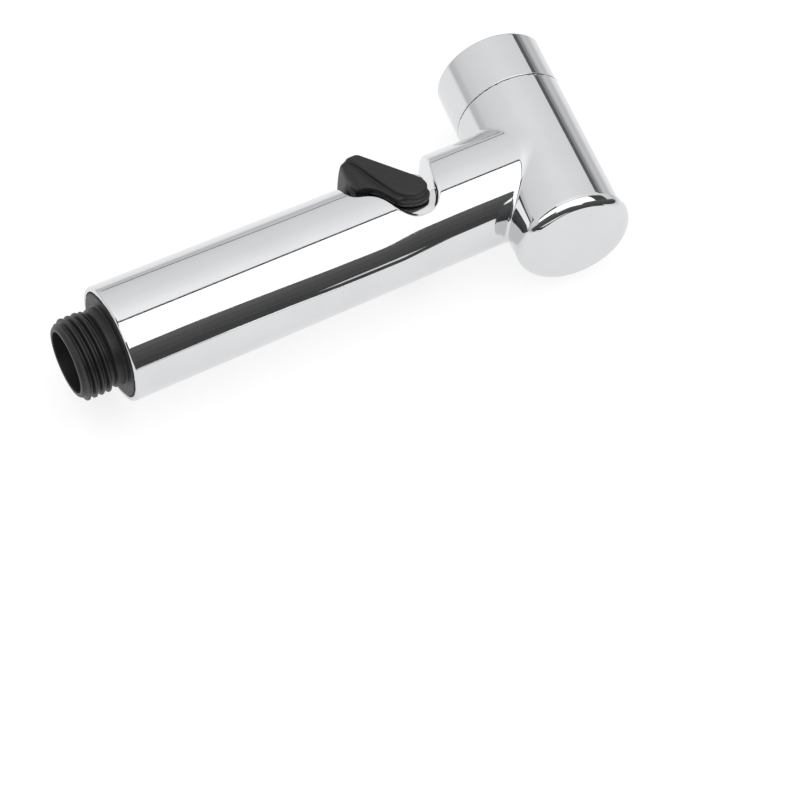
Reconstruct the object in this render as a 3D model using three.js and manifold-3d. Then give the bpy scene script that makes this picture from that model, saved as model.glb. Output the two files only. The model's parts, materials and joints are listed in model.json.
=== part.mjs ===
// A handheld bath sprayer: a tube handle with a threaded inlet, a thumb lever over a push valve, and a short
// round head that stands across the handle's end and sprays through a perforated plate.
//
// Everything is modelled in the design frame, in millimetres: +X runs along the handle from the inlet's face
// to the head, +Z is the side that the nozzle points to, and Y runs across. The whole group is then laid on
// its side.

import * as THREE from "three";
import { mergeVertices } from "three/addons/utils/BufferGeometryUtils.js";
import Module from "manifold-3d";

const wasm = await Module();
wasm.setup();

// ---------------------------------------------------------------- driving dimensions

const handle = {
  mouthX: 11.5, // the shell's open end
  rearRadius: 14.8,
  neckRadius: 13.9,
  boreRadius: 12.3,
  flangeSeatRadius: 13.5,
  flangeSeatDepth: 3,
};

const head = {
  axisX: 132.1, // where the head's axis crosses the handle's
  tilt: THREE.MathUtils.degToRad(9.28), // the nozzle leans away from the handle
  radius: 15.05,
  capEnd: -25, // heights along the head's own axis, from that crossing
  seam: 18.8,
  nozzleEnd: 33.8,
  edgeRadius: 3,
  cavityRadius: 12.6,
  cavityFloor: -22.5,
};

const thread = {
  crestRadius: 10.33, // G 1/2 male thread
  rootRadius: 9.2,
  pitch: 1.814,
  firstCrestX: 1.9,
  turns: 4,
  boreRadius: 7.85,
  endX: 8.6, // a plain shoulder joins the thread to the flange
  shoulderRadius: 10,
};

// The slope that the thumb presses: a plane through slopeTop that falls towards the head.
const slope = {
  topX: 89.46,
  topZ: 14.16,
  angle: THREE.MathUtils.degToRad(52.25),
};

const lever = {
  pivotX: 94.2,
  pivotZ: -1.1,
  halfWidth: 16.4,
  skirtHalfWidth: 15, // below and behind the band that runs beside the slope
  innerHalfWidth: 12.45,
  rearX: 81.1,
  frameDepth: 3.1, // how far the frame stands behind the thumb plate's face
  padRadius: 14,
  plateRadius: 13.4,
  plateThickness: 1,
  skinDepth: 2.6,
  frameBack: 4.2, // the back of the frame, outside the hollow behind the pad
  padRoomRadius: 12.9,
};

const pin = {
  radius: 1.5,
  innerY: 7.7,
  outerY: 15.1,
};

const valve = {
  axisX: 85,
  chamberRadius: 3.6,
};

const tube = {
  z: -7.4, // the outlet tube runs low, under the finger notch
  radius: 4.3,
  boreRadius: 3,
  endX: 123,
};

const cheekHalfWidth = 12.1; // the shell's flat cheeks beside the lever
const rearCheek = { halfWidth: 8.7, endX: 84.2 }; // narrower behind, where the lever's rear corners come down
const notchFloorZ = 7.9;
const gap = 0.3; // between pieces that touch
const FINE = 48;
const MEDIUM = 28;
const COARSE = 16;

// ---------------------------------------------------------------- materials

const chromePlate = new THREE.MeshStandardMaterial({ color: 0xd8dadd, roughness: 0.06, metalness: 1 });
const blackPlastic = new THREE.MeshStandardMaterial({ color: 0x1c1c1e, roughness: 0.38, metalness: 0 });
const corePlastic = new THREE.MeshStandardMaterial({ color: 0xe6e5df, roughness: 0.5, metalness: 0 });
const stainless = new THREE.MeshStandardMaterial({ color: 0xb9bbbd, roughness: 0.28, metalness: 1 });
const brass = new THREE.MeshStandardMaterial({ color: 0xc9a45a, roughness: 0.3, metalness: 1 });
const rubber = new THREE.MeshStandardMaterial({ color: 0x141414, roughness: 0.7, metalness: 0 });

// ---------------------------------------------------------------- helpers

// A three.js geometry as a manifold solid.
function solid(geometry) {
  const bare = geometry.clone();
  bare.deleteAttribute("normal");
  bare.deleteAttribute("uv");
  const merged = mergeVertices(bare, 1e-4);
  return new wasm.Manifold(
    new wasm.Mesh({
      numProp: 3,
      vertProperties: new Float32Array(merged.attributes.position.array),
      triVerts: new Uint32Array(merged.index.array),
    }),
  );
}

// A manifold solid as a named three.js mesh.
function named(name, manifold, material) {
  const { vertProperties, triVerts } = manifold.getMesh();
  const geometry = new THREE.BufferGeometry();
  geometry.setAttribute("position", new THREE.BufferAttribute(vertProperties, 3));
  geometry.setIndex(new THREE.BufferAttribute(triVerts, 1));
  geometry.computeVertexNormals();
  const mesh = new THREE.Mesh(geometry, material);
  mesh.name = name;
  return mesh;
}

function joined(...pieces) {
  return pieces.reduce((whole, piece) => whole.add(piece));
}

function cut(whole, ...tools) {
  return tools.reduce((rest, tool) => rest.subtract(tool), whole);
}

// A profile of [height, radius] points turned about Y. It closes on itself, or starts and ends on the axis.
function turned(profile, segments = MEDIUM) {
  const outline = profile.map(([height, radius]) => new THREE.Vector2(radius, height));
  if (THREE.ShapeUtils.area(outline) < 0) outline.reverse();
  const onAxis = outline[0].x === 0 && outline[outline.length - 1].x === 0;
  if (!onAxis) outline.push(outline[0].clone());
  return new THREE.LatheGeometry(outline, segments);
}

// Turned about the handle's axis, or about a line along X at height z.
function alongX(profile, segments = MEDIUM, z = 0) {
  return solid(turned(profile, segments).rotateZ(-Math.PI / 2).translate(0, 0, z));
}

// Turned about an upright line at x.
function upright(profile, segments = COARSE, x = valve.axisX) {
  return solid(turned(profile, segments).rotateX(Math.PI / 2).translate(x, 0, 0));
}

// Turned about the head's own axis.
function alongHead(profile, segments = FINE) {
  return solid(turned(profile, segments).rotateX(Math.PI / 2).rotateY(head.tilt).translate(head.axisX, 0, 0));
}

// Turned about a line along Y at (x, z).
function across(profile, x, z, segments = COARSE) {
  return solid(turned(profile, segments).translate(x, 0, z));
}

// The same rod along Y on both sides, between two distances from the middle.
function pairAcross(near, far, radius, x, z, segments = COARSE) {
  return [across(rod(near, far, radius), x, z, segments), across(rod(-far, -near, radius), x, z, segments)];
}

function rod(start, end, radius) {
  return [[start, 0], [start, radius], [end, radius], [end, 0]];
}

function ring(start, end, inner, outer) {
  return [[start, inner], [start, outer], [end, outer], [end, inner]];
}

function extruded(shape, depth) {
  return new THREE.ExtrudeGeometry(shape, { depth, bevelEnabled: false, curveSegments: 8 });
}

function outlineOf(points) {
  return new THREE.Shape(points.map(([x, z]) => new THREE.Vector2(x, z)));
}

// An upright outline, a shape or [x, z] points, as thick as it runs from fromY to toY.
function sidePrism(outline, fromY, toY) {
  const shape = outline instanceof THREE.Shape ? outline : outlineOf(outline);
  return solid(extruded(shape, toY - fromY).rotateX(Math.PI / 2).translate(0, toY, 0));
}

function box(lowX, highX, lowY, highY, lowZ, highZ) {
  const geometry = new THREE.BoxGeometry(highX - lowX, highY - lowY, highZ - lowZ);
  return solid(geometry.translate((lowX + highX) / 2, (lowY + highY) / 2, (lowZ + highZ) / 2));
}

function torus(ringRadius, wireRadius, segments = 18) {
  return new THREE.TorusGeometry(ringRadius, wireRadius, 6, segments);
}

// A point on the lever's slope: along it from its top, and depth behind its face.
function onSlope(along, depth) {
  const down = [Math.cos(slope.angle), -Math.sin(slope.angle)];
  return [
    slope.topX + along * down[0] + depth * down[1],
    slope.topZ + along * down[1] - depth * down[0],
  ];
}

// ---------------------------------------------------------------- the shell

// The notch that the lever sits in, seen from the side: a step behind the lever, a round pocket for its arm,
// and the slanted end of the neck.
function notchOutline() {
  const outline = new THREE.Shape();
  outline.moveTo(79.6, 22);
  outline.lineTo(79.6, 6.2);
  outline.quadraticCurveTo(79.6, 4.1, 81.6, 3.4);
  outline.quadraticCurveTo(85.2, 2.4, 87.2, -2);
  outline.quadraticCurveTo(89.7, -7.5, 94, -7.5);
  outline.quadraticCurveTo(98.5, -7.3, 99.7, -1);
  outline.quadraticCurveTo(101.4, 5, 104.9, 14.4);
  outline.lineTo(107.5, 22);
  return outline;
}

// What is open above the notch's floor, between the cheeks.
const notchMiddle = [
  [79.6, 22],
  [79.6, notchFloorZ],
  [86.2, notchFloorZ],
  [95, 1.2],
  [97.2, -1.6],
  [99.5, -1.6],
  [101.9, 5.5],
  [104.9, 14.4],
  [107.5, 22],
];

function handleOutside() {
  return alongX(
    [
      [handle.mouthX, 0],
      [handle.mouthX, handle.rearRadius - 0.5],
      [handle.mouthX + 0.5, handle.rearRadius],
      [head.axisX, handle.neckRadius],
      [head.axisX, 0],
    ],
    FINE,
  );
}

function headOutside() {
  const profile = [[head.capEnd, 0]];
  const steps = 4;
  for (let i = 0; i <= steps; i += 1) {
    const turn = (i / steps) * (Math.PI / 2);
    profile.push([
      head.capEnd + head.edgeRadius * (1 - Math.cos(turn)),
      head.radius - head.edgeRadius * (1 - Math.sin(turn)),
    ]);
  }
  profile.push([head.seam, head.radius], [head.seam, 0]);
  return alongHead(profile);
}

function handleCavity() {
  const neckWall = 2.2;
  const fullBore = alongX(rod(handle.mouthX - 1, 77.5, handle.boreRadius), FINE);
  const flangeSeat = alongX(
    rod(handle.mouthX - 1, handle.mouthX + handle.flangeSeatDepth, handle.flangeSeatRadius),
    FINE,
  );
  const underNotch = alongX(rod(77, 97, handle.boreRadius), FINE);
  const valveRoom = sidePrism([[77.2, -14], [77.2, 6.6], [85.3, 6.6], [91.5, 1.7], [91.5, -14]], -7.5, 7.5);
  const passageRoom = sidePrism(
    [[91, -14], [91, 1.3], [93.4, 0.5], [95.4, -1.6], [96.4, -3], [96.4, -14]],
    -5.2,
    5.2,
  );
  const neckRoom = alongX(rod(90, head.axisX, handle.neckRadius - 2), FINE).intersect(
    sidePrism([[98.6 + neckWall, -14], [104 + neckWall, 13], [head.axisX, 13], [head.axisX, -14]], -14, 14),
  );
  return joined(
    fullBore,
    flangeSeat,
    underNotch.intersect(valveRoom),
    underNotch.intersect(passageRoom),
    neckRoom,
    alongX(rod(95, 108, tube.radius + gap), COARSE, tube.z),
  );
}

function handleShell() {
  const headCavity = alongHead(rod(head.cavityFloor, head.seam + 1, head.cavityRadius));
  const sideNotch = notchOutline();
  const rearCorner = sidePrism(sideNotch, rearCheek.halfWidth, 20).intersect(
    box(70, rearCheek.endX, 0, 20, 0, 22),
  );
  const glandHole = upright(rod(2.5, 10, 4.1));
  const pinHoles = pairAcross(pin.innerY - gap, 13, pin.radius + 0.1, lever.pivotX, lever.pivotZ);
  return cut(
    joined(handleOutside(), headOutside()),
    handleCavity(),
    headCavity,
    sidePrism(sideNotch, cheekHalfWidth, 20),
    sidePrism(sideNotch, -20, -cheekHalfWidth),
    sidePrism(notchMiddle, -cheekHalfWidth - 0.1, cheekHalfWidth + 0.1),
    rearCorner,
    rearCorner.mirror([0, 1, 0]),
    glandHole,
    ...pinHoles,
  );
}

// ---------------------------------------------------------------- the inlet

function inletNipple() {
  const profile = [[0, thread.boreRadius], [0, thread.rootRadius - 0.4], [0.5, thread.rootRadius]];
  for (let i = 0; i < thread.turns; i += 1) {
    const crest = thread.firstCrestX + i * thread.pitch;
    profile.push(
      [crest - 0.75, thread.rootRadius],
      [crest - 0.15, thread.crestRadius],
      [crest + 0.15, thread.crestRadius],
      [crest + 0.75, thread.rootRadius],
    );
  }
  const flangeX = handle.mouthX - 0.2;
  const flangeBackX = handle.mouthX + handle.flangeSeatDepth - gap;
  profile.push(
    [thread.endX, thread.rootRadius],
    [thread.endX + 0.5, thread.shoulderRadius],
    [flangeX, thread.shoulderRadius],
    [flangeX, handle.flangeSeatRadius - gap],
    [flangeBackX, handle.flangeSeatRadius - gap],
    [flangeBackX, handle.boreRadius - gap],
    [24, handle.boreRadius - gap],
    [24, 8.1],
    [29.4, 8.1],
    [29.4, 7],
    [31, 7],
    [31, 8.1],
    [33, 8.1],
    [33, 6],
    [12, 6],
    [9, thread.boreRadius],
  );
  return alongX(profile, MEDIUM);
}

// ---------------------------------------------------------------- the core and its valve

function waterCore() {
  const tail = alongX(ring(26, 30, 8.4, 12), 40);
  const barrel = alongX(rod(29, 72, 10.6), 40);
  const shoulder = alongX(rod(70, 77.2, 12), 40);
  const round = alongX(rod(77, 96, 12), 40);
  const valveBlock = sidePrism([[77.1, -14], [77.1, 6.3], [85.2, 6.3], [91.2, 1.4], [91.2, -14]], -7.2, 7.2);
  const turnBlock = sidePrism([[90.8, -14], [90.8, 0.9], [93, 0.2], [94.8, -1.7], [94.8, -14]], -4.8, 4.8);
  const outletTube = cut(
    alongX(rod(90, tube.endX, tube.radius), COARSE, tube.z),
    alongX(ring(119.6, 121.2, 3.5, 5), COARSE, tube.z),
  );
  const passage = solid(
    turned(rod(0, 8.2, 1.8), COARSE)
      .rotateZ(-Math.PI / 2)
      .rotateY(0.473)
      .translate(84.8, 0, 1.5),
  );
  return cut(
    joined(tail, barrel, shoulder, round.intersect(valveBlock), round.intersect(turnBlock), outletTube),
    alongX(rod(25, 69, 8.4), MEDIUM),
    alongX(rod(68, 84, 2.8), COARSE, -6.6),
    upright(rod(-14, -2.8, valve.chamberRadius)),
    upright(rod(-3, 3.4, 2.4)),
    upright(rod(3.3, 8, 3.9)),
    passage,
    upright(rod(tube.z, -1.7, 1.8), COARSE, 92.6),
    alongX(rod(91.6, tube.endX + 1, tube.boreRadius), COARSE, tube.z),
  );
}

function valveSeat() {
  return upright([[-4.1, 2.6], [-4.1, 3.4], [-2.9, 3.4], [-2.9, 2.1], [-3.8, 2.1]]);
}

function valveStem() {
  return upright([
    [-6.9, 0],
    [-6.9, 0.8],
    [-4.1, 0.8],
    [-4.1, 1.7],
    [-3.3, 1.7],
    [-3.3, 1],
    [10.3, 1],
    [10.3, 0],
  ]);
}

function stemCap() {
  return upright([[9.7, 1.1], [9.7, 1.5], [10.7, 1.5], [11, 1.1], [11, 0], [10.5, 0], [10.5, 1.1]]);
}

function valveWasher() {
  return upright(ring(-5.4, -4.35, 0.95, 3.1));
}

function washerRetainer() {
  return upright(ring(-6.6, -5.7, 0.95, 2.6));
}

function valveSpring() {
  const turns = 3;
  const coilRadius = 2.1;
  const low = -9.3;
  const high = -7.1;
  const points = [];
  const steps = turns * 12;
  for (let i = 0; i <= steps; i += 1) {
    const turn = (i / steps) * turns * 2 * Math.PI;
    points.push(
      new THREE.Vector3(
        valve.axisX + coilRadius * Math.cos(turn),
        coilRadius * Math.sin(turn),
        low + ((high - low) * i) / steps,
      ),
    );
  }
  const wire = new THREE.Shape();
  wire.absarc(0, 0, 0.2, 0, Math.PI * 2);
  const route = new THREE.CatmullRomCurve3(points);
  return solid(
    new THREE.ExtrudeGeometry(wire, { steps, extrudePath: route, curveSegments: 3, bevelEnabled: false }),
  );
}

function valvePlug() {
  return upright([
    [-11.6, 0],
    [-11.6, 3.4],
    [-10.9, 3.4],
    [-10.9, 2.6],
    [-10, 2.6],
    [-10, 3.4],
    [-9.6, 3.4],
    [-9.6, 1.4],
    [-8.8, 1.2],
    [-8.8, 0],
  ]);
}

function glandNut() {
  const topZ = notchFloorZ - 0.2;
  const body = upright([[3.7, 2.3], [3.7, 3.7], [topZ, 3.7], [topZ, 1.1], [6.6, 1.1], [6.6, 2.3]]);
  const keyHoles = [-1, 1].map((side) => across(rod(-0.5, 0.5, 0.5), valve.axisX + side * 2.4, topZ, 8));
  return cut(body, ...keyHoles);
}

function sealAround(axisTurn, x, z, ringRadius, wireRadius) {
  return solid(torus(ringRadius, wireRadius).rotateY(axisTurn).translate(x, 0, z));
}

// ---------------------------------------------------------------- the head

function nozzleSocket() {
  const cup = alongHead(
    [
      [-12, 0],
      [-12, 12.2],
      [head.seam - 2 * gap, 12.2],
      [head.seam - 2 * gap, 11.5],
      [20.6, 11.5],
      [20.6, 10.9],
      [21.8, 10.9],
      [21.8, 11.5],
      [29.4, 11.5],
      [29.4, 8.6],
      [-10, 8.6],
      [-10, 0],
    ],
    MEDIUM,
  );
  return cut(cup, alongX(rod(110, 126, tube.radius + gap), COARSE, tube.z));
}

function nozzleCollar() {
  return alongHead([
    [head.seam + gap, 11.9],
    [head.seam + gap, head.radius - 0.3],
    [head.seam + 2 * gap, head.radius],
    [head.nozzleEnd - 0.4, head.radius],
    [head.nozzleEnd, head.radius - 0.4],
    [head.nozzleEnd, 9.9],
    [head.nozzleEnd - 0.2, 9.7],
    [head.nozzleEnd - 1.5, 9.7],
    [head.nozzleEnd - 1.5, 11.9],
  ]);
}

function sprayPlate() {
  return alongHead(rod(31.6, 32, 11.4), MEDIUM);
}

function plateGasket() {
  return alongHead(ring(29.8, 31.3, 8.8, 11.2), MEDIUM);
}

function collarORing() {
  return solid(
    torus(11.42, 0.38, 36).translate(0, 0, 21.2).rotateY(head.tilt).translate(head.axisX, 0, 0),
  );
}

// ---------------------------------------------------------------- the lever

// The whole hood from the side: rear wall, roof, the frame behind the slope, and the round tips of the arms.
function hoodOutline() {
  const [roofX, roofZ] = onSlope(-3.4, lever.frameDepth);
  const [tipX, tipZ] = onSlope(15.2, lever.frameDepth);
  const outline = new THREE.Shape();
  outline.moveTo(81.2, 10.7);
  outline.lineTo(82, 14.6);
  outline.quadraticCurveTo(82.3, 16, 83.6, 16);
  outline.lineTo(roofX, roofZ + 0.3);
  outline.lineTo(tipX, tipZ);
  outline.quadraticCurveTo(98, -2.9, 96.6, -4.3);
  outline.quadraticCurveTo(95.2, -5.5, 93.2, -5.2);
  outline.quadraticCurveTo(90, -4.8, 88.2, -2.3);
  outline.lineTo(86.5, 1.1);
  outline.quadraticCurveTo(85.2, 3.1, 83.1, 4.4);
  outline.lineTo(81.4, 5.4);
  return outline;
}

// The band beside the slope, which stands wider than the rest: narrow at the roof, wide and round at its tip.
const bandOutline = [
  [83.2, 20],
  [83.4, 13.4],
  [84.3, 11],
  [85.8, 6.4],
  [86.9, 3.3],
  [88, 0.3],
  [89.3, -2.2],
  [91.2, -3.8],
  [92.6, -4.5],
  [94.2, -4.6],
  [95.8, -4],
  [96.9, -2.6],
  [97, -1.2],
  [96, 6],
  [92, 20],
];

// What the lever covers seen along Z, for a half width: square at the slope, round at its two rear corners.
function leverPlan(halfWidth) {
  const corner = 6.5;
  const rearX = lever.rearX;
  const plan = new THREE.Shape();
  plan.moveTo(120, -halfWidth);
  plan.lineTo(120, halfWidth);
  plan.lineTo(rearX + corner, halfWidth);
  plan.absarc(rearX + corner, halfWidth - corner, corner, Math.PI / 2, Math.PI, false);
  plan.absarc(rearX + corner, corner - halfWidth, corner, Math.PI, Math.PI * 1.5, false);
  return solid(extruded(plan, 30).translate(0, 0, -10));
}

// The room under the hood, out to a half width: a round hollow behind the pad, and a shallower one behind the frame.
function leverRoom(halfWidth) {
  const roomOutline = (topAlong, topX, depth) => [
    onSlope(30, depth),
    onSlope(topAlong, depth),
    [topX, 14],
    [83.4, 14],
    [82.8, 9.3],
    [79, 9.3],
    [79, -14],
    [onSlope(30, depth)[0], -14],
  ];
  const behindPad = sidePrism(roomOutline(1.4, 87.2, lever.skinDepth), -halfWidth, halfWidth);
  const behindFrame = sidePrism(roomOutline(-2.6, 84.4, lever.frameBack), -halfWidth, halfWidth);
  return joined(behindPad.intersect(alongX(rod(70, 110, lever.padRoomRadius), FINE)), behindFrame);
}

function leverBody() {
  const width = lever.halfWidth;
  const hood = sidePrism(hoodOutline(), -width, width);
  const band = leverPlan(width).intersect(sidePrism(bandOutline, -width, width));
  const roofZ = 16;
  const roofRadius = 59.3;
  const roof = alongX(rod(70, 110, roofRadius), 160, roofZ - roofRadius);
  const padFace = lever.plateThickness + gap;
  const pad = sidePrism(
    [onSlope(-2.6, padFace), onSlope(15.6, padFace), onSlope(15.6, 4), onSlope(-2.6, 4)],
    -lever.padRadius,
    lever.padRadius,
  ).intersect(alongX(rod(70, 110, lever.padRadius), FINE));
  const inside = joined(
    leverRoom(rearCheek.halfWidth + gap),
    leverRoom(lever.innerHalfWidth).intersect(box(rearCheek.endX - 0.4, 120, -20, 20, -20, 20)),
  );
  const pressRib = box(83.3, 86.2, -3, 3, 11 + gap, 14.3);
  const pinHoles = pairAcross(10, pin.outerY + gap, pin.radius + 0.06, lever.pivotX, lever.pivotZ, 32);
  const shaped = hood.intersect(joined(leverPlan(lever.skirtHalfWidth), band)).intersect(roof);
  return cut(joined(shaped, pad), inside, ...pinHoles).add(pressRib);
}

function thumbPlate() {
  const sheet = sidePrism(
    [
      onSlope(-1, 0),
      onSlope(15.2, 0),
      onSlope(15.2, lever.plateThickness),
      onSlope(-1, lever.plateThickness),
    ],
    -lever.padRadius,
    lever.padRadius,
  );
  return sheet.intersect(alongX(rod(70, 110, lever.plateRadius), FINE));
}

function leverPins() {
  return pairAcross(pin.innerY, pin.outerY, pin.radius, lever.pivotX, lever.pivotZ, 32);
}

// ---------------------------------------------------------------- the assembly

const [leftPin, rightPin] = leverPins();
const sprayer = new THREE.Group();
sprayer.add(
  named("handle_shell", handleShell(), chromePlate),
  named("inlet_nipple", inletNipple(), blackPlastic),
  named("nipple_o_ring", sealAround(Math.PI / 2, 30.2, 0, 7.7, 0.55), rubber),
  named("water_core", waterCore(), corePlastic),
  named("valve_seat", valveSeat(), brass),
  named("valve_plug", valvePlug(), corePlastic),
  named("plug_o_ring", sealAround(0, valve.axisX, -10.45, 3.08, 0.38), rubber),
  named("gland_nut", glandNut(), brass),
  named("stem_o_ring_1", sealAround(0, valve.axisX, 4.5, 1.65, 0.5), rubber),
  named("stem_o_ring_2", sealAround(0, valve.axisX, 5.8, 1.65, 0.5), rubber),
  named("valve_stem", valveStem(), stainless),
  named("stem_cap", stemCap(), corePlastic),
  named("valve_washer", valveWasher(), rubber),
  named("washer_retainer", washerRetainer(), brass),
  named("valve_spring", valveSpring(), stainless),
  named("tube_o_ring", sealAround(Math.PI / 2, 120.4, tube.z, 3.98, 0.4), rubber),
  named("nozzle_socket", nozzleSocket(), corePlastic),
  named("collar_o_ring", collarORing(), rubber),
  named("nozzle_collar", nozzleCollar(), chromePlate),
  named("spray_plate", sprayPlate(), stainless),
  named("plate_gasket", plateGasket(), rubber),
  named("lever", leverBody(), blackPlastic),
  named("thumb_plate", thumbPlate(), chromePlate),
  named("lever_pin_left", leftPin, stainless),
  named("lever_pin_right", rightPin, stainless),
);

// Laid on its side: the nozzle side becomes +Y. The origin is the middle of the box's underside.
sprayer.rotation.x = -Math.PI / 2;
sprayer.updateMatrixWorld(true);
const extent = new THREE.Box3().setFromObject(sprayer, true);
const middle = extent.getCenter(new THREE.Vector3());
sprayer.position.set(-middle.x, -middle.y, -extent.min.z);

export default sprayer;
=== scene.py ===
import json
import math

import bpy
import numpy as np
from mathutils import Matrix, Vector
from mathutils.geometry import delaunay_2d_cdt


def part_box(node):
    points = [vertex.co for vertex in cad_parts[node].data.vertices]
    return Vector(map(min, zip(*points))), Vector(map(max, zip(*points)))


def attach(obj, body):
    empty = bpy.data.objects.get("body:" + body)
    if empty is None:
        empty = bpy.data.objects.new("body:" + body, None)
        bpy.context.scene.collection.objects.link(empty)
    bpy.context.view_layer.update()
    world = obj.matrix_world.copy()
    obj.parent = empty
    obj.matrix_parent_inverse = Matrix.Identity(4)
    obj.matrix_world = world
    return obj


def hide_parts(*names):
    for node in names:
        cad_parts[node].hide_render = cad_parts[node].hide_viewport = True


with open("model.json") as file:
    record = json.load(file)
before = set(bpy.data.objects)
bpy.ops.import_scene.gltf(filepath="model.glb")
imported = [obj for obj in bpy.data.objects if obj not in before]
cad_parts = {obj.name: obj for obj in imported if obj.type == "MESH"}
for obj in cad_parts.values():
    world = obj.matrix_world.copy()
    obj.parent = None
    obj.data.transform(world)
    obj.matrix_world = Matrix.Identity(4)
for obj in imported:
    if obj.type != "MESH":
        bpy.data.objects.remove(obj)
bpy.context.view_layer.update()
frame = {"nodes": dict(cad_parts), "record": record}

# ------------------------------------------------------------------ frame and driving dimensions
#
# Shapes are worked out in the design frame, in millimetres: +X runs along the handle from the inlet's face to
# the head, +Z is the nozzle's side, and Y runs across. to_row() turns that into the row frame, in metres.

MM = 0.001
inlet_low, inlet_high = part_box("inlet_nipple")
ORIGIN = np.array([inlet_low.x, (inlet_low.y + inlet_high.y) / 2, (inlet_low.z + inlet_high.z) / 2]) / MM
SHELL_PITCH = 0.42  # grid steps that the shapes are sampled with
LEVER_PITCH = 0.3
PLATE_PITCH = 0.26
RUNNING_GAP = 0.3

MOUTH_X = 11.5  # the shell's open end
REAR_RADIUS = 14.8
NECK_RADIUS = 13.9
BORE_RADIUS = 12.3
SEAT_RADIUS = 13.5
SEAT_DEPTH = 3.0
CHEEK = 12.1  # half width of the shell between the lever's arms
REAR_CHEEK = 8.7  # and behind REAR_CHEEK_END, where the lever's rear corners come down
REAR_CHEEK_END = 84.2
MOUTH_EDGE = 0.8
NOTCH_EDGE = 0.9
HEAD_FILLET = 0.9  # between the handle's tube and the head's drum

HEAD_X = 132.1
HEAD_TILT = math.radians(9.28)
HEAD_RADIUS = 15.05
CAP_END = -25.0  # heights along the head's own axis
CAP_EDGE = 3.0
SEAM = 18.8
SEAM_GAP = 0.14
NOZZLE_END = 33.8
NOZZLE_BORE = 9.8
NOZZLE_LIP = 1.5  # how thick the rim over the spray plate is
CAVITY_RADIUS = 12.6
CAVITY_FLOOR = -22.5

SLOPE_TOP = (89.46, 14.16)
SLOPE_ANGLE = math.radians(52.25)
LEVER_HALF = 16.4  # the band that runs beside the slope
SKIRT_HALF = 15.0  # below and behind the band
LEVER_CORE_HALF = 14.2
ROOF_Z = 16.0
ROOF_RADIUS = 59.3
LEVER_INNER = 12.45
REAR_X = 81.1
PIVOT = (94.2, -1.1)
PAD_RADIUS = 14.0
PAD_ROOM_RADIUS = 12.9  # the hollow behind the pad
PLATE_RADIUS = 13.4
FRAME_DEPTH = 3.1  # how far the lever's frame stands behind the thumb plate's face
PAD_BACK = 2.6  # how far the backs of the pad and the frame stand behind it
FRAME_BACK = 4.2
PIN_RADIUS = 1.5

TUBE_Z = -7.4
TUBE_RADIUS = 4.3
VALVE_X = 85.0

THREAD_CREST = 10.33
THREAD_ROOT = 9.2
THREAD_PITCH = 1.814
THREAD_BORE = 7.85
THREAD_END = 8.6  # a plain shoulder joins the thread to the flange
SHOULDER_RADIUS = 10.0
FLANGE_X = MOUTH_X - 0.2


def to_row(points):
    points = np.asarray(points, float)
    return (np.stack([points[:, 0], points[:, 2], -points[:, 1]], 1) + ORIGIN) * MM


def on_slope(along, depth):
    """A point on the lever's slope: along it from its top, and depth behind its face."""
    down = (math.cos(SLOPE_ANGLE), -math.sin(SLOPE_ANGLE))
    return (
        SLOPE_TOP[0] + along * down[0] + depth * down[1],
        SLOPE_TOP[1] + along * down[1] - depth * down[0],
    )


# ------------------------------------------------------------------ distance fields
#
# A field gives the signed distance to a surface, negative inside. Edges between two fields get a real radius.


def both(a, b, radius=0.0):
    """What is inside a and b, its edge rounded."""
    past_edge = np.hypot(np.maximum(a + radius, 0), np.maximum(b + radius, 0))
    return np.minimum(np.maximum(a, b), -radius) + past_edge


def either(a, b, radius=0.0):
    """What is inside a or b, its inner corner filleted."""
    in_corner = np.hypot(np.maximum(radius - a, 0), np.maximum(radius - b, 0))
    return np.maximum(np.minimum(a, b), radius) - in_corner


def without(a, b, radius=0.0):
    return both(a, -b, radius)


def between(value, low, high):
    return np.maximum(low - value, value - high)


def outline(points, x, z):
    """The distance to a closed outline in the XZ plane."""
    nearest = np.inf
    inside = False
    for (x0, z0), (x1, z1) in zip(points, points[1:] + points[:1]):
        run, rise = x1 - x0, z1 - z0
        if not run and not rise:
            continue
        t = np.clip(((x - x0) * run + (z - z0) * rise) / (run * run + rise * rise), 0, 1)
        nearest = np.minimum(nearest, (x - x0 - run * t) ** 2 + (z - z0 - rise * t) ** 2)
        if rise:
            inside ^= ((z0 > z) != (z1 > z)) & (x < run * (z - z0) / rise + x0)
    return np.where(inside, -1, 1) * np.sqrt(nearest)


def softened(corners, steps=6):
    """A polyline of (x, y, radius) corners with each corner turned into a curve."""
    points = []
    for i, (x, y, radius) in enumerate(corners):
        here = np.array([x, y])
        back = np.array(corners[i - 1][:2]) - here
        on = np.array(corners[(i + 1) % len(corners)][:2]) - here
        if not radius:
            points.append((x, y))
            continue
        start = here + back * min(radius / np.linalg.norm(back), 0.5)
        end = here + on * min(radius / np.linalg.norm(on), 0.5)
        for t in np.linspace(0, 1, steps + 1):
            point = (1 - t) ** 2 * start + 2 * t * (1 - t) * here + t * t * end
            points.append((float(point[0]), float(point[1])))
    return points


def path(*steps, fineness=8):
    """Points along an outline. Two numbers make a straight step, and four a curved one, its control first."""
    points = [steps[0]]
    for step in steps[1:]:
        if len(step) == 2:
            points.append(step)
            continue
        start, control, end = np.array(points[-1]), np.array(step[:2]), np.array(step[2:])
        for t in np.linspace(0, 1, fineness + 1)[1:]:
            point = (1 - t) ** 2 * start + 2 * t * (1 - t) * control + t * t * end
            points.append((float(point[0]), float(point[1])))
    return points


def head_axes(x, y, z):
    """The height along the head's axis, and the distance from it."""
    height = math.sin(HEAD_TILT) * (x - HEAD_X) + math.cos(HEAD_TILT) * z
    off = math.cos(HEAD_TILT) * (x - HEAD_X) - math.sin(HEAD_TILT) * z
    return height, np.hypot(off, y)


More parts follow.
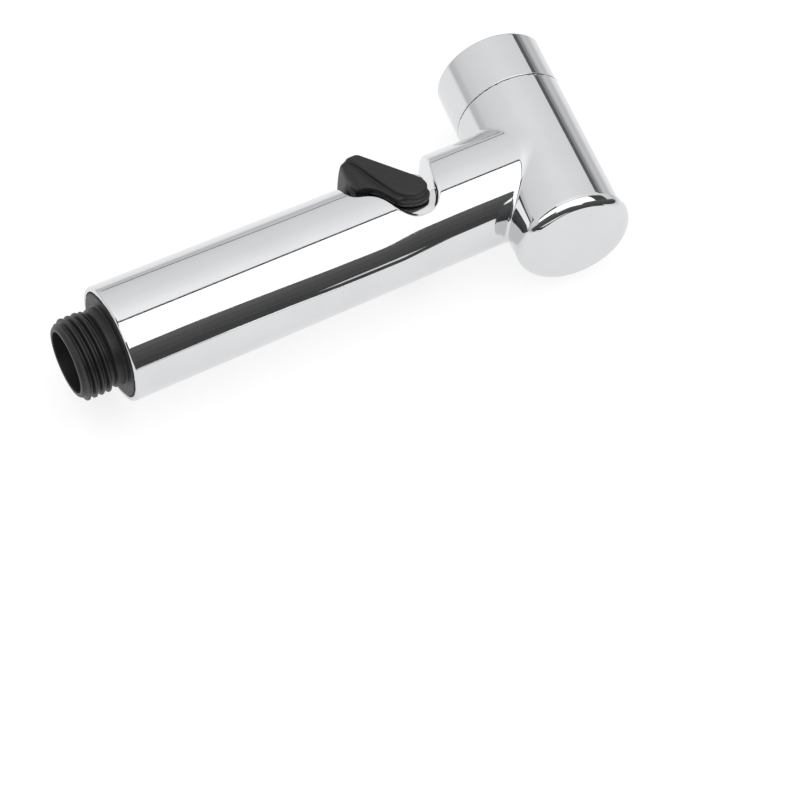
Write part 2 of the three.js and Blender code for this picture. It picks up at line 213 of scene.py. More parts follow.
def from_head(points):
    """Points along the head's axis, put where the head stands."""
    x, y, z = np.asarray(points, float).T
    turned_x = math.cos(HEAD_TILT) * x + math.sin(HEAD_TILT) * z
    turned_z = math.cos(HEAD_TILT) * z - math.sin(HEAD_TILT) * x
    return np.stack([turned_x + HEAD_X, y, turned_z], 1)


# ------------------------------------------------------------------ meshes


def new_piece(name, points, faces, body, nodes, material, normals=None):
    """A mesh in the row frame that rides on a body and stands for CAD nodes."""
    mesh = bpy.data.meshes.new(name)
    mesh.from_pydata(to_row(points).tolist(), [], faces)
    mesh.update()
    mesh.materials.append(material)
    mesh.shade_smooth()
    if normals is None:
        normals = weighted_normals(mesh)
    else:
        normals = np.stack([normals[:, 0], normals[:, 2], -normals[:, 1]], 1)
    mesh.normals_split_custom_set_from_vertices(normals.tolist())
    piece = bpy.data.objects.new(name, mesh)
    bpy.context.scene.collection.objects.link(piece)
    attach(piece, body)
    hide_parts(*nodes)
    return piece


def weighted_normals(mesh):
    """A normal for each point from its faces by area, so that flat faces stay flat beside rounded edges."""
    total = np.zeros((len(mesh.vertices), 3))
    for face in mesh.polygons:
        total[list(face.vertices)] += np.array(face.normal) * face.area
    length = np.linalg.norm(total, axis=1, keepdims=True)
    return total / np.maximum(length, 1e-20)


def surface(field, low, high, pitch):
    """The field's zero surface as points, faces and normals, by surface nets pulled onto the field itself."""
    axes = [np.arange(low[i] - pitch, high[i] + 2 * pitch, pitch) for i in range(3)]
    x, y, z = axes[0][:, None, None], axes[1][None, :, None], axes[2][None, None, :]
    shape = tuple(len(axis) for axis in axes)
    values = np.broadcast_to(field(x, y, z), shape).astype(np.float32)
    inside = values < 0
    corners = [(i, j, k) for i in (0, 1) for j in (0, 1) for k in (0, 1)]

    def corner(array, step):
        return array[tuple(slice(shift, size - 1 + shift) for shift, size in zip(step, shape))]

    count = sum(corner(inside, step).astype(np.int8) for step in corners)
    mixed = (count > 0) & (count < 8)
    cells = np.argwhere(mixed)
    number = np.full(mixed.shape, -1, np.int64)
    number[mixed] = np.arange(len(cells))
    at_corner = {step: values[tuple((cells + step).T)] for step in corners}
    total = np.zeros((len(cells), 3))
    crossings = np.zeros(len(cells))
    for a in corners:
        for axis in range(3):
            if a[axis]:
                continue
            b = tuple(1 if i == axis else a[i] for i in range(3))
            va, vb = at_corner[a], at_corner[b]
            crossed = (va < 0) != (vb < 0)
            t = np.where(crossed, va / np.where(crossed, va - vb, 1), 0)
            place = np.repeat(np.array(a, float)[None], len(cells), 0)
            place[:, axis] += t
            total += place * crossed[:, None]
            crossings += crossed
    points = np.array([axis[0] for axis in axes]) + (cells + total / crossings[:, None]) * pitch

    faces = []
    for axis in range(3):
        u, v = (axis + 1) % 3, (axis + 2) % 3
        first = [slice(1, n - 1) for n in shape]
        first[axis] = slice(0, shape[axis] - 1)
        second = list(first)
        second[axis] = slice(1, shape[axis])
        here, there = inside[tuple(first)], inside[tuple(second)]
        edges = np.argwhere(here != there)
        outward = here[tuple(edges.T)]
        edges = edges + [0 if i == axis else 1 for i in range(3)]
        ring = []
        for du, dv in ((0, 0), (-1, 0), (-1, -1), (0, -1)):
            cell = edges.copy()
            cell[:, u] += du
            cell[:, v] += dv
            ring.append(number[tuple(cell.T)])
        quad = np.stack(ring, 1)
        quad[~outward] = quad[~outward][:, ::-1]
        faces.append(quad)
    faces = np.concatenate(faces)

    def slope(place):
        step = 0.01
        parts = []
        for axis in range(3):
            ahead, behind = place.copy(), place.copy()
            ahead[:, axis] += step
            behind[:, axis] -= step
            parts.append((field(*ahead.T) - field(*behind.T)) / (2 * step))
        return np.stack(parts, 1)

    for _ in range(3):
        steep = slope(points)
        move = field(*points.T)[:, None] * steep / np.maximum((steep ** 2).sum(1, keepdims=True), 0.05)
        size = np.linalg.norm(move, axis=1, keepdims=True)
        points = points - move * np.minimum(1, 0.5 * pitch / np.maximum(size, 1e-9))
    normals = slope(points)
    normals /= np.maximum(np.linalg.norm(normals, axis=1, keepdims=True), 1e-9)
    return points, faces.tolist(), normals


def turned(profile, place, segments=160, closed=True):
    """A profile of (height, radius) points turned into a mesh. place() gives the design points."""
    profile = np.array([point[:2] for point in profile], float)
    angles = np.linspace(0, 2 * math.pi, segments, endpoint=False)
    height = np.repeat(profile[:, 0], segments)
    radius = np.repeat(profile[:, 1], segments)
    turn = np.tile(angles, len(profile))
    points = place(height, radius * np.cos(turn), radius * np.sin(turn))
    rows = len(profile)
    faces = []
    for i in range(rows if closed else rows - 1):
        j = (i + 1) % rows
        for k in range(segments):
            m = (k + 1) % segments
            faces.append((i * segments + k, j * segments + k, j * segments + m, i * segments + m))
    return points, faces


def along_x(height, a, b, z=0.0):
    return np.stack([height, a, b + z], 1)


def along_head(height, a, b):
    return from_head(np.stack([a, b, height], 1))


def facing_out(points, faces):
    """The faces, turned over where the mesh would enclose a negative volume."""
    volume = 0.0
    for face in faces:
        p = points[list(face)]
        for i in range(1, len(face) - 1):
            volume += np.dot(p[0], np.cross(p[i], p[i + 1]))
    return faces if volume > 0 else [tuple(reversed(face)) for face in faces]


# ------------------------------------------------------------------ materials


class Nodes:
    """A material's node tree with short ways to add to it."""

    def __init__(self, name, **shader):
        self.material = bpy.data.materials.new(name)
        self.material.use_nodes = True
        self.tree = self.material.node_tree
        self.shader = self.tree.nodes["Principled BSDF"]
        for socket, value in shader.items():
            self.shader.inputs[socket.replace("_", " ")].default_value = value
        self.place = self.tree.nodes.new("ShaderNodeTexCoord").outputs["Object"]

    def noise(self, scale, detail=4.0, stretch=(1, 1, 1)):
        mapping = self.tree.nodes.new("ShaderNodeMapping")
        mapping.inputs["Scale"].default_value = stretch
        texture = self.tree.nodes.new("ShaderNodeTexNoise")
        texture.inputs["Scale"].default_value = scale
        texture.inputs["Detail"].default_value = detail
        self.tree.links.new(self.place, mapping.inputs["Vector"])
        self.tree.links.new(mapping.outputs["Vector"], texture.inputs["Vector"])
        return texture.outputs["Fac"]

    def spread(self, value, low, high, start=0.3, end=0.7):
        node = self.tree.nodes.new("ShaderNodeMapRange")
        for socket, number in (("From Min", start), ("From Max", end), ("To Min", low), ("To Max", high)):
            node.inputs[socket].default_value = number
        self.tree.links.new(value, node.inputs["Value"])
        return node.outputs["Result"]

    def colours(self, value, *stops):
        ramp = self.tree.nodes.new("ShaderNodeValToRGB")
        elements = ramp.color_ramp.elements
        while len(elements) < len(stops):
            elements.new(0.5)
        for element, (position, colour) in zip(elements, stops):
            element.position = position
            element.color = (*colour, 1)
        self.tree.links.new(value, ramp.inputs["Fac"])
        return ramp.outputs["Color"]

    def set(self, socket, value):
        self.tree.links.new(value, self.shader.inputs[socket])
        return self

    def bump(self, *layers):
        """Layers of (height, strength, distance) one on another."""
        normal = None
        for height, strength, distance in layers:
            node = self.tree.nodes.new("ShaderNodeBump")
            node.inputs["Strength"].default_value = strength
            node.inputs["Distance"].default_value = distance
            self.tree.links.new(height, node.inputs["Height"])
            if normal:
                self.tree.links.new(normal, node.inputs["Normal"])
            normal = node.outputs["Normal"]
        return self.set("Normal", normal)


def chrome():
    m = Nodes("chrome", Metallic=1.0)
    m.set("Base Color", m.colours(m.noise(60), (0.3, (0.655, 0.66, 0.672)), (0.7, (0.69, 0.695, 0.705))))
    m.set("Roughness", m.spread(m.noise(900, 6), 0.03, 0.075))
    m.bump((m.noise(90, 1), 0.25, 0.00004), (m.noise(2600, 3, (0.15, 1, 1)), 0.05, 0.000004))
    return m.material


def black_plastic():
    m = Nodes("black_plastic", Specular_IOR_Level=0.45)
    dark, pale = (0.006, 0.006, 0.007), (0.012, 0.012, 0.0135)
    m.set("Base Color", m.colours(m.noise(700, 6), (0.3, dark), (0.72, pale)))
    m.set("Roughness", m.spread(m.noise(1500, 5), 0.38, 0.55))
    m.bump((m.noise(5200, 3), 0.16, 0.00004), (m.noise(160, 2), 0.12, 0.0001))
    return m.material


def core_plastic():
    m = Nodes("core_plastic", Subsurface_Weight=0.05)
    m.set("Base Color", m.colours(m.noise(240, 5), (0.3, (0.72, 0.71, 0.66)), (0.7, (0.80, 0.79, 0.75))))
    m.set("Roughness", m.spread(m.noise(1200), 0.38, 0.55))
    m.bump((m.noise(3600, 2), 0.1, 0.00004))
    return m.material


def rubber():
    m = Nodes("seal_rubber")
    dark, pale = (0.012, 0.012, 0.012), (0.030, 0.030, 0.029)
    m.set("Base Color", m.colours(m.noise(900, 6), (0.35, dark), (0.75, pale)))
    m.set("Roughness", m.spread(m.noise(2200), 0.55, 0.8))
    m.bump((m.noise(6000, 2), 0.2, 0.00004))
    return m.material


def metal(name, low, high, roughness, lines):
    """Turned or drawn metal with fine tool lines."""
    m = Nodes(name, Metallic=1.0)
    m.set("Base Color", m.colours(m.noise(300, 5), (0.3, low), (0.7, high)))
    m.set("Roughness", m.spread(m.noise(1400, 5), roughness - 0.06, roughness + 0.08))
    m.bump((m.noise(2400, 3, lines), 0.12, 0.00003))
    return m.material


CHROME = chrome()
BLACK = black_plastic()
CORE = core_plastic()
RUBBER = rubber()
BRASS = metal("brass", (0.62, 0.44, 0.17), (0.74, 0.55, 0.25), 0.26, (0.2, 1, 1))
STEEL = metal("stainless", (0.50, 0.50, 0.50), (0.60, 0.60, 0.61), 0.24, (1, 0.15, 1))
PLATE_STEEL = metal("spray_plate_steel", (0.56, 0.56, 0.57), (0.66, 0.66, 0.67), 0.3, (1, 1, 0.12))

SLOT_MATERIALS = {
    "chrome_plating": CHROME,
    "black_plastic": BLACK,
    "core_plastic": CORE,
    "seal_rubber": RUBBER,
    "brass": BRASS,
    "stainless": STEEL,
    "spray_plate_steel": PLATE_STEEL,
}

# ------------------------------------------------------------------ the shell

NOTCH_FLOOR = 7.9
NOTCH_SIDE = path(
    (79.6, 22), (79.6, 6.2), (79.6, 4.1, 81.6, 3.4), (85.2, 2.4, 87.2, -2), (89.7, -7.5, 94, -7.5),
    (98.5, -7.3, 99.7, -1), (101.4, 5, 104.9, 14.4), (107.5, 22))
NOTCH_MIDDLE = [(79.6, 22), (79.6, NOTCH_FLOOR), (86.2, NOTCH_FLOOR), (95, 1.2), (97.2, -1.6), (99.5, -1.6),
                (101.9, 5.5), (104.9, 14.4), (107.5, 22)]
VALVE_ROOM = [(77.2, -14), (77.2, 6.6), (85.3, 6.6), (91.5, 1.7), (91.5, -14)]
PASSAGE_ROOM = [(91, -14), (91, 1.3), (93.4, 0.5), (95.4, -1.6), (96.4, -3), (96.4, -14)]
NECK_ROOM = [(100.8, -14), (106.2, 13), (HEAD_X, 13), (HEAD_X, -14)]
NECK_WALL = 2.0
VALVE_ROOM_HALF = 7.5
PASSAGE_HALF = 5.2
GLAND_HOLE_RADIUS = 4.1


def shell_field(x, y, z):
    off_axis = np.hypot(y, z)
    taper = (REAR_RADIUS - NECK_RADIUS) / (HEAD_X - MOUTH_X)
    tube = off_axis - (REAR_RADIUS - taper * (x - MOUTH_X))
    tube = np.maximum(both(tube, MOUTH_X - x, MOUTH_EDGE), x - HEAD_X)
    height, radius = head_axes(x, y, z)
    drum = both(both(radius - HEAD_RADIUS, CAP_END - height, CAP_EDGE), height - SEAM, 0.25)
    outside = either(tube, drum, HEAD_FILLET)

    bore = np.maximum(off_axis - BORE_RADIUS, between(x, MOUTH_X - 2, 77.5))
    seat = np.maximum(off_axis - SEAT_RADIUS, between(x, MOUTH_X - 2, MOUTH_X + SEAT_DEPTH))
    under = np.maximum(off_axis - BORE_RADIUS, between(x, 77, 97))
    valve_room = np.maximum(outline(VALVE_ROOM, x, z), abs(y) - VALVE_ROOM_HALF)
    passage_room = np.maximum(outline(PASSAGE_ROOM, x, z), abs(y) - PASSAGE_HALF)
    under_notch = np.maximum(under, np.minimum(valve_room, passage_room))
    neck_room = np.maximum(outline(NECK_ROOM, x, z), off_axis - NECK_RADIUS + NECK_WALL)
    tube_bore = np.maximum(np.hypot(y, z - TUBE_Z) - TUBE_RADIUS - RUNNING_GAP, between(x, 95, 108))
    drum_room = np.maximum(radius - CAVITY_RADIUS, between(height, CAVITY_FLOOR, SEAM + 2))
    rooms = np.minimum(bore, seat)
    for room in (under_notch, neck_room, tube_bore, drum_room):
        rooms = np.minimum(rooms, room)
    body = without(outside, rooms, 0.25)

    notch_side = outline(NOTCH_SIDE, x, z)
    side_notch = both(notch_side, CHEEK - abs(y), 0.3)
    rear_corner = both(np.maximum(notch_side, x - REAR_CHEEK_END), REAR_CHEEK - abs(y), 0.3)
    side_notch = np.minimum(side_notch, rear_corner)
    middle = np.maximum(outline(NOTCH_MIDDLE, x, z), abs(y) - CHEEK - 0.1)
    body = without(body, side_notch, NOTCH_EDGE)
    body = without(body, middle, 0.45)
    gland = np.maximum(np.hypot(x - VALVE_X, y) - GLAND_HOLE_RADIUS, between(z, 2.5, 10))
    pins = np.maximum(np.hypot(x - PIVOT[0], z - PIVOT[1]) - PIN_RADIUS - 0.1, between(abs(y), 7.4, 13))
    return without(without(body, gland, 0.2), pins, 0.2)


def make_shell():
    low, high = (MOUTH_X, -15.2, -27.6), (151, 15.2, 22.2)
    points, faces, normals = surface(shell_field, low, high, SHELL_PITCH)
    nodes = ["handle_shell"]
    return new_piece("shell_skin", points, faces, "handle", nodes, CHROME, normals)


# ------------------------------------------------------------------ the lever

LEVER_SIDE = path(
    (81.2, 10.7), (81.8, 15), (82, ROOF_Z, 83, ROOF_Z),
    on_slope(-3.4, FRAME_DEPTH), on_slope(15.2, FRAME_DEPTH),
    (98, -2.9, 96.6, -4.3), (95.2, -5.5, 93.2, -5.2), (90, -4.8, 88.2, -2.3), (86.5, 1.1),
    (85.2, 3.1, 83.1, 4.4), (81.4, 5.4))
BAND = softened([
    (82.4, 20, 0), (82.6, 13.4, 2), (84.3, 11, 2), (85.8, 6.4, 2), (88, 0.3, 2), (89.3, -2.2, 2),
    (91.2, -3.8, 2), (92.6, -4.5, 1.4), (94.2, -4.6, 1.4), (95.8, -4, 1.4), (96.9, -2.6, 1.4), (97, -1.2, 1),
    (96, 6, 0), (92, 20, 0)])


def lever_room(top_along, top_x, depth):
    """The room under the hood, seen from the side."""
    return [
        on_slope(30, depth), on_slope(top_along, depth), (top_x, 14), (83.4, 14), (82.8, 9.3), (79, 9.3),
        (79, -14), (on_slope(30, depth)[0], -14)]


BEHIND_PAD = lever_room(1.4, 87.2, PAD_BACK)
BEHIND_FRAME = lever_room(-2.6, 84.4, FRAME_BACK)


def slope_axes(x, z):
    """How far along the slope a point is, and how far behind its face."""
    dx, dz = x - SLOPE_TOP[0], z - SLOPE_TOP[1]
    return (
        dx * math.cos(SLOPE_ANGLE) - dz * math.sin(SLOPE_ANGLE),
        -dx * math.sin(SLOPE_ANGLE) - dz * math.cos(SLOPE_ANGLE),
    )


def lever_field(x, y, z):
    along, depth = slope_axes(x, z)
    side = abs(y)
    roof = np.hypot(y, z - ROOF_Z + ROOF_RADIUS) - ROOF_RADIUS
    hood = outline(LEVER_SIDE, x, z)
    near_tip = np.clip((x - 88.5) / 2, 0, 1)

    def upright(half_width, corner):
        return both(both(REAR_X - x, side - half_width, corner), roof, 0.8)

    core = both(upright(LEVER_CORE_HALF, 2.6), hood, 0.5)
    skirt = both(upright(SKIRT_HALF, 3.4), hood + 0.9 * near_tip, 0.5)
    band = both(both(upright(LEVER_HALF, 3.4), hood, 0.5), outline(BAND, x, z), 0.7)
    body = either(np.minimum(core, skirt), band, 0.35)

    pad = both(np.hypot(y, z) - PAD_RADIUS, between(depth, 1.3, 4), 0.45)
    pad = both(pad, between(along, -2.6, 15.6), 0.6)
    face = both(np.hypot(y, z * 0.9) - 15.2, between(depth, 2.5, 4), 0.35)
    face = both(face, between(along, -4.0, 16.2), 0.8)
    body = either(np.minimum(body, face), pad, 0.25)
    inner_side = np.where(x > REAR_CHEEK_END - 0.4, LEVER_INNER, REAR_CHEEK + RUNNING_GAP)
    behind_pad = np.maximum(outline(BEHIND_PAD, x, z), np.hypot(y, z) - PAD_ROOM_RADIUS)
    inside = np.maximum(np.minimum(behind_pad, outline(BEHIND_FRAME, x, z)), side - inner_side)
    body = without(body, inside, 0.4)
    rib = both(both(between(x, 83.3, 86.2), side - 3, 0.3), between(z, 11.3, 14.6), 0.3)
    body = np.minimum(body, rib)
    pins = np.maximum(np.hypot(x - PIVOT[0], z - PIVOT[1]) - PIN_RADIUS - 0.06, side - 15.4)
    return without(body, pins, 0.15)


def make_lever():
    points, faces, normals = surface(lever_field, (80.5, -16.8, -5.8), (100.5, 16.8, 16.6), LEVER_PITCH)
    return new_piece("lever_skin", points, faces, "lever", ["lever"], BLACK, normals)


def plate_field(x, y, z):
    along, depth = slope_axes(x, z)
    rim = both(np.hypot(y, z) - PLATE_RADIUS, along - 15.2, 1.6)
    rim = both(rim, -1.2 - along, 0.4)
    slab = both(rim, between(depth, 0, 1), 0.42)
    middle, bowl_radius, bowl_depth = 6.2, 11.6, 0.45
    reach = np.hypot((along - middle) * 1.25, y)
    bowl = bowl_depth * np.clip(1 - (reach / bowl_radius) ** 2, 0, 1)
    return np.maximum(slab, bowl - depth)


def make_thumb_plate():
    points, faces, normals = surface(plate_field, (85, -13.8, -1.5), (101.5, 13.8, 15.5), PLATE_PITCH)
    nodes = ["thumb_plate"]
    return new_piece("thumb_plate_skin", points, faces, "lever", nodes, CHROME, normals)


# ------------------------------------------------------------------ the inlet


def make_inlet():
    """The threaded nipple with its flange, and the plug end inside the handle."""
    spin = 144
    mouth = [
        (9.3, THREAD_BORE, 0), (0, THREAD_BORE, 0.25), (0, THREAD_ROOT - 0.4, 0.3), (0.5, THREAD_ROOT, 0)]
    ring = softened(mouth, 4)[:-1]
    start = len(ring)
    ring += [(x, THREAD_ROOT) for x in np.linspace(0.5, THREAD_END - 0.1, 90)]
    end = len(ring)
    flange = SEAT_RADIUS - RUNNING_GAP
    tail = BORE_RADIUS - RUNNING_GAP
    back = MOUTH_X + SEAT_DEPTH - RUNNING_GAP
    ring += softened([
        (THREAD_END, THREAD_ROOT, 0.1), (THREAD_END + 0.5, SHOULDER_RADIUS, 0.25),
        (FLANGE_X, SHOULDER_RADIUS, 0.3), (FLANGE_X, flange, 0.45), (back, flange, 0.2),
        (back, tail, 0.3), (24, tail, 0.5), (24, 8.1, 0.3), (29.4, 8.1, 0.1), (29.4, 7, 0.15), (31, 7, 0.15),
        (31, 8.1, 0.1), (33, 8.1, 0.4), (33, 6, 0.3), (12, 6, 0.6), (9.3, THREAD_BORE, 0.2)], 4)
    points, faces = turned(ring, along_x, spin)
    points = points.reshape(len(ring), spin, 3)
    turn = np.arange(spin) / spin
    for row in range(start, end):
        x = ring[row][0]
        phase = ((x - 1.9) / THREAD_PITCH - turn + 0.5) % 1 - 0.5
        flank = np.clip((0.41 - abs(phase)) / 0.33, 0, 1)
        rise = flank * flank * (3 - 2 * flank)
        run_in = np.clip((x - 0.6) / 0.9, 0, 1) * np.clip((THREAD_END - 0.2 - x) / 0.8, 0, 1)
        radius = THREAD_ROOT + (THREAD_CREST - THREAD_ROOT) * rise * run_in
        points[row, :, 1] = radius * np.cos(turn * 2 * math.pi)
        points[row, :, 2] = radius * np.sin(turn * 2 * math.pi)
    points = points.reshape(-1, 3)
    faces = facing_out(points, faces)
    return new_piece("inlet_skin", points, faces, "handle", ["inlet_nipple"], BLACK)


# ------------------------------------------------------------------ the nozzle


def make_collar():
    bottom, top, bore = SEAM + SEAM_GAP, NOZZLE_END, 11.9
    profile = softened([
        (bottom, bore, 0.2), (bottom, HEAD_RADIUS, 0.28), (top, HEAD_RADIUS, 0.8), (top, NOZZLE_BORE, 0.45),
        (top - NOZZLE_LIP, NOZZLE_BORE - 0.1, 0.15), (top - NOZZLE_LIP, bore, 0.2)])
    points, faces = turned(profile, along_head, 220)
    faces = facing_out(points, faces)
    return new_piece("collar_skin", points, faces, "collar", ["nozzle_collar"], CHROME)


HOLE_RADIUS = 0.2
HOLE_RINGS = (1, 8, 20, 32, 44, 56)
RING_STEP = 1.52


def make_spray_plate():
    """A thin flat disc.

    Its mesh has the outline of every spray hole, but faces fill them: no hole goes through."""
    edge, low, high = 11.4, 31.6, 32.0
    rim = np.linspace(0, 2 * math.pi, 120, endpoint=False)
    loops = [[(edge * math.cos(a), edge * math.sin(a)) for a in rim]]
    for ring, count in enumerate(HOLE_RINGS):
        for i in range(count):
            turn = 2 * math.pi * (i + 0.5 * (ring % 2)) / count
            cx, cy = ring * RING_STEP * math.cos(turn), ring * RING_STEP * math.sin(turn)
            loops.append([
                (cx + HOLE_RADIUS * math.cos(-a), cy + HOLE_RADIUS * math.sin(-a))
                for a in np.linspace(0, 2 * math.pi, 10, endpoint=False)
            ])
    flat, edges = [], []
    for loop in loops:
        first = len(flat)
        flat += [Vector(point) for point in loop]
        edges += [(first + i, first + (i + 1) % len(loop)) for i in range(len(loop))]
    made, _, triangles, *_ = delaunay_2d_cdt(flat, edges, [], 2, 1e-6)
    count = len(made)
    sheet = np.array([[p.x, p.y] for p in made])
    above = np.column_stack([np.full(count, high), sheet])
    below = np.column_stack([np.full(count, low), sheet])
    both_sides = np.concatenate([above, below])
    points = along_head(both_sides[:, 0], both_sides[:, 1], both_sides[:, 2])
    faces = [tuple(t) for t in triangles] + [tuple(count + i for i in reversed(t)) for t in triangles]
    directed = {(t[i], t[(i + 1) % 3]) for t in triangles for i in range(3)}
    for a, b in directed:
        if (b, a) not in directed:
            faces.append((b, a, count + a, count + b))
    faces = facing_out(points, sorted(faces))
    return new_piece(
        "spray_plate_skin", points, faces, "plate_stack", ["spray_plate"], PLATE_STEEL)


# ------------------------------------------------------------------ everything together

make_shell()
make_lever()
make_thumb_plate()
make_inlet()
make_collar()
make_spray_plate()

for subpart in frame["record"]["subparts"]:
    materials = frame["nodes"][subpart["node"]].data.materials
    materials.clear()
    materials.append(SLOT_MATERIALS[subpart["material_slot"]])

# ------------------------------------------------------------------ stage, light and camera


def stage_material(name, colour, strength):
    material = bpy.data.materials.new(name)
    material.use_nodes = True
    shader = material.node_tree.nodes["Principled BSDF"]
    shader.inputs["Base Color"].default_value = (*colour, 1)
    shader.inputs["Specular IOR Level"].default_value = 0
    shader.inputs["Roughness"].default_value = 1
    shader.inputs["Emission Color"].default_value = (1, 1, 1, 1)
    shader.inputs["Emission Strength"].default_value = strength
    return material


def stage_mesh(name, points, faces, material):
    mesh = bpy.data.meshes.new(name)
    mesh.from_pydata([tuple(point) for point in points], [], faces)
    mesh.materials.append(material)
    made = bpy.data.objects.new(name, mesh)
    bpy.context.scene.collection.objects.link(made)
    return made


def reflected_only(card):
    card.visible_camera = False
    card.visible_diffuse = False
    card.visible_shadow = False
    return card


HANDLE_AXIS = Vector((0, float(ORIGIN[1]) * MM, float(ORIGIN[2]) * MM))
HEAD_MIDDLE = Vector(to_row([(HEAD_X, 0, 0)])[0])


def strip(name, start, end, distance, material, low=-1.6, high=1.6, lean=None):
    """A long card beside the handle, seen only in reflections.

    Angles run from the back over the top to the front. lean gives (x, degrees) points: how far the card turns
    about the handle along its length."""
    lean = lean or [(low, 0), (high, 0)]
    places = [low] + [x for x, _ in lean if low < x < high] + [high]
    rows = []
    for x in places:
        extra = float(np.interp(x, [place for place, _ in lean], [turn for _, turn in lean]))
        for angle in (start, end):
            turn = math.radians(angle + extra)
            rows.append(HANDLE_AXIS + Vector((x, distance * math.cos(turn), distance * math.sin(turn))))
    faces = [(2 * i, 2 * i + 2, 2 * i + 3, 2 * i + 1) for i in range(len(places) - 1)]
    return reflected_only(stage_mesh(name, rows, faces, material))


def facing_card(name, azimuth, low, high, width, distance, material):
    """A card that faces the head from an azimuth, between two elevations, seen only in reflections."""
    turn = math.radians(azimuth)
    away = Vector((math.cos(turn), math.sin(turn), 0))
    across = Vector((-math.sin(turn), math.cos(turn), 0)) * width / 2
    foot = HEAD_MIDDLE + away * distance
    corners = []
    for elevation, side in ((low, -1), (low, 1), (high, 1), (high, -1)):
        rise = Vector((0, 0, distance * math.tan(math.radians(elevation))))
        corners.append(foot + across * side + rise)
    return reflected_only(stage_mesh(name, corners, [(0, 1, 2, 3)], material))


def glow(name, level):
    return stage_material(name, (0, 0, 0), level)


FAR, NEAR, CLOSE = 0.9, 0.26, 0.08  # how far the cards stand from the handle's axis
CARD_STEP = 9.4
CHARCOAL_LEAN = [(0.024, -1), (0.049, 2), (0.074, 6), (0.096, 8), (0.11, 1), (0.129, 0), (0.154, 1)]
CHARCOAL_FOOT = [(-0.021, 0), (0, 3), (0.015, 7), (0.034, 8), (0.049, 1), (0.069, 0)]
HORIZON_LEAN = [(0.16, -1), (0.19, 0), (0.28, 4.5), (0.31, 4), (0.36, 6), (0.4, 3)]


def make_stage():
    corners = [(-3, -3, 0), (3, -3, 0), (3, 3, 0), (-3, 3, 0)]
    floor = stage_mesh("floor", corners, [(0, 1, 2, 3)], floor_material())
    floor.location.z = -0.0002
    dark_edge = glow("dark_edge", 0.08)
    white = glow("soft_box_white", 1.75)
    strip("ceiling_edge", 90.0, 93.2, FAR, dark_edge, low=-0.35)
    strip("ceiling_edge_left", 78.0, 93.2, FAR, dark_edge, high=-0.35)
    strip("soft_box", 93.2, 154.0, FAR, white, high=0.62)
    strip("soft_box_end", 90.0, 150.0, FAR, dark_edge, low=0.62)
    strip("front_left", 122.0, 184.0, 0.85, dark_edge, high=-0.35)
    for row, level in enumerate((0.125, 0.1, 0.085, 0.068)):
        start = 144.5 + row * CARD_STEP
        card = glow(f"charcoal_{row}", level)
        strip(f"front_card_{row}", start, start + CARD_STEP, NEAR, card, lean=CHARCOAL_LEAN)
    foot = glow("charcoal_foot", 0.068)
    strip("front_card_foot", 175.0, 182.0, CLOSE, foot, low=-0.1, high=0.09, lean=CHARCOAL_FOOT)
    strip("front_line", 182.0, 183.3, CLOSE, white, low=-0.02, high=0.02, lean=CHARCOAL_FOOT)
    grey_line = glow("grey_line", 0.45)
    strip("front_line_dark", 183.3, 184.2, CLOSE, grey_line, low=-0.1, high=0.02, lean=CHARCOAL_FOOT)
    horizon = glow("horizon_line", 0.08)
    strip("horizon_line", 8.4, 10.4, FAR, horizon, low=0.16, high=1.0, lean=HORIZON_LEAN)
    for row, (start, end, level) in enumerate(((10, 14.5, 0.6), (14.5, 20, 0.34), (20, 26.5, 0.14))):
        facing_card(f"back_card_{row}", 31, start, end, 0.3, 0.6, glow(f"back_card_{row}", level))
    low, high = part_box("nozzle_collar")
    edge = high.x
    bounce = [
        (edge - 0.004, -0.012, 0), (edge + 0.05, -0.012, 0), (edge + 0.05, high.y + 0.03, 0),
        (edge - 0.004, high.y + 0.03, 0)]
    reflected_only(stage_mesh("right_bounce", bounce, [(0, 1, 2, 3)], glow("right_bounce", 1.42)))


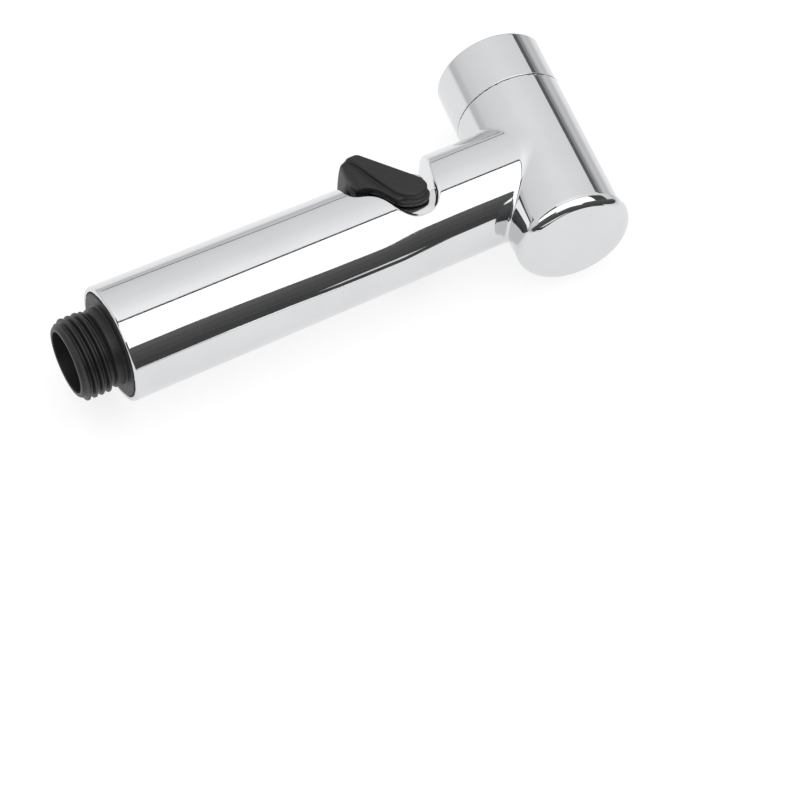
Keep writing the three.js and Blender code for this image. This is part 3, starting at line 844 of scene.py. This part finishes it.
def floor_material():
    """A pale sheet with a painted pool of light: its colour and glow grow a little darker away from the
    object.
    """
    m = Nodes("floor", Roughness=0.9, Emission_Strength=1.0)
    away = m.tree.nodes.new("ShaderNodeVectorMath")
    away.operation = "LENGTH"
    m.tree.links.new(m.place, away.inputs[0])
    distance = away.outputs["Value"]
    grain = m.spread(m.noise(6, 3), -0.006, 0.006)
    total = m.tree.nodes.new("ShaderNodeMath")
    m.tree.links.new(m.spread(distance, 0, 1, 0.14, 0.7), total.inputs[0])
    m.tree.links.new(grain, total.inputs[1])
    painted_falloff_and_grain = total.outputs[0]
    # Painted pool of light: base colour and emission fall off with distance from the object, plus a faint
    # random grain.
    for socket, levels in (("Base Color", (0.36, 0.24, 0.2)), ("Emission Color", (0.72, 0.55, 0.5))):
        stops = [(position, (level,) * 3) for position, level in zip((0, 0.5, 1), levels)]
        m.set(socket, m.colours(painted_falloff_and_grain, *stops))
    m.shader.inputs["Specular IOR Level"].default_value = 0
    return m.material


def make_world():
    """A pale studio: brighter overhead, a little darker at the horizon."""
    world = bpy.data.worlds.new("studio")
    bpy.context.scene.world = world
    world.use_nodes = True
    tree = world.node_tree
    place = tree.nodes.new("ShaderNodeTexCoord")
    split = tree.nodes.new("ShaderNodeSeparateXYZ")
    ramp = tree.nodes.new("ShaderNodeValToRGB")
    tree.links.new(place.outputs["Generated"], split.inputs[0])
    tree.links.new(split.outputs["Z"], ramp.inputs["Fac"])
    elements = ramp.color_ramp.elements
    # The ramp reads the height of a direction, and everything under the horizon gets the first level.
    stops = ((0.0, 0.68), (0.1, 0.72), (0.2, 0.84), (0.45, 0.91), (0.75, 0.97), (0.9, 1.08), (1.0, 1.3))
    while len(elements) < len(stops):
        elements.new(0.5)
    for element, (position, level) in zip(elements, stops):
        element.position = position
        element.color = (level, level, level * 1.005, 1)
    tree.links.new(ramp.outputs["Color"], tree.nodes["Background"].inputs["Color"])


def make_camera():
    aim = Vector(to_row([(65.39, 0, -46.16)])[0])
    azimuth, elevation, roll = math.radians(-123.489), math.radians(54.762), math.radians(-4.936)
    distance = 637.66 * MM
    to_camera = Vector((
        math.cos(elevation) * math.cos(azimuth),
        math.cos(elevation) * math.sin(azimuth),
        math.sin(elevation),
    ))
    right = Vector((0, 0, 1)).cross(to_camera).normalized()
    up = to_camera.cross(right)
    turned_up = up * math.cos(roll) + right * math.sin(roll)
    turned_right = turned_up.cross(to_camera)
    data = bpy.data.cameras.new("camera")
    data.lens = 120.755
    data.sensor_width = 36
    data.clip_end = 20
    camera = bpy.data.objects.new("camera", data)
    bpy.context.scene.collection.objects.link(camera)
    matrix = camera.matrix_world.copy()
    for i in range(3):
        matrix[i][0], matrix[i][1], matrix[i][2] = turned_right[i], turned_up[i], to_camera[i]
        matrix[i][3] = (aim + to_camera * distance)[i]
    camera.matrix_world = matrix
    bpy.context.scene.camera = camera


make_stage()
make_world()
make_camera()
bpy.context.scene.view_settings.view_transform = "Standard"
